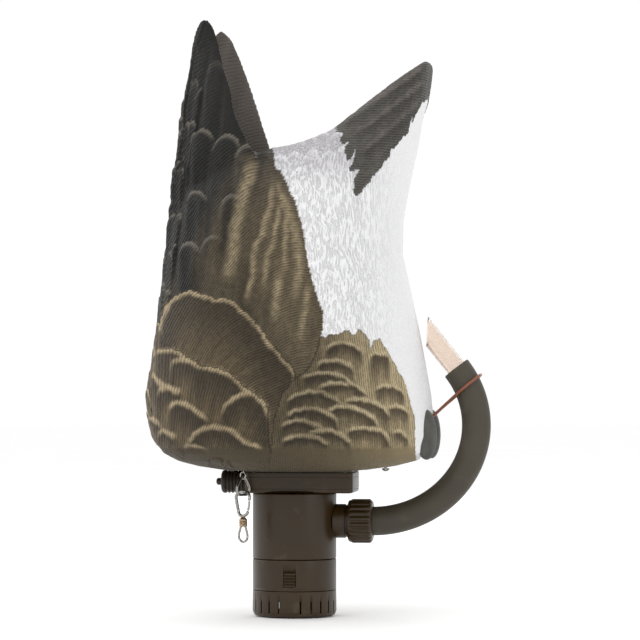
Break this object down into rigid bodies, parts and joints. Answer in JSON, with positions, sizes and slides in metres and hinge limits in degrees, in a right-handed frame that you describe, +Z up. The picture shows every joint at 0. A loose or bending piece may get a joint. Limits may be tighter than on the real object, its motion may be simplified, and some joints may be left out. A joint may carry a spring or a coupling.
{
  "type": "motion wing decoy",
  "caption": "Tipped-up goose feeder decoy: moulded feathered shell on a mounting box, with a submersible pump and a hose that jets water back at the bird.",
  "frame": {"origin": "on the pump's axis, in the plane of the strainer's flat bottom", "axes": "+Z up along the pump's axis, +X towards the bird's belly, the outlet and the hose, +Y to the bird's far side"},
  "size_m": [0.2563, 0.206, 0.444],
  "materials": {
    "painted_plastic": "matte airbrushed paint over moulded feathers",
    "foot_plastic": "matte dark grey",
    "brown_plastic": "semi-gloss moulded, dark brown",
    "black_plastic": "matte moulded",
    "black_rubber": "matt dark grey-brown rubber",
    "clear_plastic": "clear tube with a pale amber tint",
    "steel": "bright nickel plate",
    "brass": "plain",
    "copper": "copper-coloured wire",
    "circuit_board": "green board"
  },
  "bodies": {
    "root": {"body_shell": "painted_plastic", "near_foot": "foot_plastic", "far_foot": "foot_plastic", "mounting_box": "brown_plastic", "box_gasket": "black_rubber", "box_screw_1": "steel", "box_screw_2": "steel", "box_screw_3": "steel", "box_screw_4": "steel", "control_board": "circuit_board", "relay": "black_plastic", "timer_chip": "black_plastic", "battery": "black_plastic", "battery_tray": "brown_plastic", "battery_strap": "black_rubber", "battery_plug": "black_plastic", "battery_lead": "black_rubber", "pump_lead": "black_rubber", "switch_lead": "black_rubber", "lead_grommet": "black_rubber", "switch_body": "black_plastic", "switch_boot": "black_rubber", "pump_base_ring": "brown_plastic", "pump_housing": "brown_plastic", "motor_can": "steel", "motor_end_cap": "black_plastic", "magnet_ring": "black_plastic", "lower_bearing": "brass", "upper_bearing": "brass", "near_brush": "black_plastic", "far_brush": "black_plastic", "shaft_seal": "black_rubber", "diffuser_plate": "brown_plastic", "housing_o_ring": "black_rubber", "hose_seal": "black_rubber", "hose": "black_rubber", "tie_wire": "copper", "anchor_eyelet": "steel", "underside_screw": "steel"},
    "strainer": {"pump_strainer": "brown_plastic"},
    "near_tab": {"near_latch_tab": "brown_plastic"},
    "far_tab": {"far_latch_tab": "brown_plastic"},
    "rotor": {"motor_shaft": "steel", "armature": "copper", "commutator": "copper", "impeller": "black_plastic"},
    "button": {"switch_button": "black_rubber"},
    "nut": {"outlet_nut": "brown_plastic"},
    "jet": {"nozzle": "clear_plastic"},
    "ring": {"tackle_ring": "steel"},
    "hook": {"snap_hook": "steel", "swivel_barrel": "brass"},
    "gate": {"snap_gate": "steel"},
    "swivel": {"swivel_eye": "steel"}
  },
  "joints": [
    {"name": "switch_press", "type": "slide", "parent": "root", "child": "button", "axis": [1, 0, 0], "range_m": [0, 0.0025], "stiffness_N_per_m": 800},
    {"name": "impeller_spin", "type": "hinge", "parent": "root", "child": "rotor", "pos_m": [0, 0, 0.05], "axis": [0, 0, 1], "continuous": true},
    {"name": "outlet_nut_turn", "type": "hinge", "parent": "root", "child": "nut", "pos_m": [0.0408, 0, 0.0707], "axis": [1, 0, 0], "range_deg": [0, 900]},
    {"name": "strainer_pull", "type": "slide", "parent": "root", "child": "strainer", "axis": [0, 0, -1], "range_m": [0, 0.02]},
    {"name": "near_latch_press", "type": "hinge", "parent": "root", "child": "near_tab", "pos_m": [0, -0.0302, 0.0326], "axis": [1, 0, 0], "range_deg": [0, 8], "stiffness_Nm_per_rad": 0.5},
    {"name": "far_latch_press", "type": "hinge", "parent": "root", "child": "far_tab", "pos_m": [0, 0.0302, 0.0326], "axis": [-1, 0, 0], "range_deg": [0, 8], "stiffness_Nm_per_rad": 0.5},
    {"name": "nozzle_turn", "type": "hinge", "parent": "root", "child": "jet", "pos_m": [0.12126, 0, 0.18485], "axis": [-0.6218, 0, 0.7832], "range_deg": [-60, 60]},
    {"name": "tackle_ring_swing", "type": "hinge", "parent": "root", "child": "ring", "pos_m": [-0.034, -0.035, 0.1031], "axis": [-0.8387, 0.5446, 0], "range_deg": [-6, 75]},
    {"name": "hook_swing", "type": "hinge", "parent": "ring", "child": "hook", "pos_m": [-0.034, -0.035, 0.0912], "axis": [-0.5446, -0.8387, 0], "range_deg": [-50, 50]},
    {"name": "gate_open", "type": "hinge", "parent": "hook", "child": "gate", "pos_m": [-0.02989, -0.03767, 0.0799], "axis": [-0.5446, -0.8387, 0], "range_deg": [0, 25], "stiffness_Nm_per_rad": 0.02},
    {"name": "swivel_spin", "type": "hinge", "parent": "hook", "child": "swivel", "pos_m": [-0.034, -0.035, 0.068], "axis": [0, 0, 1], "continuous": true}
  ]
}
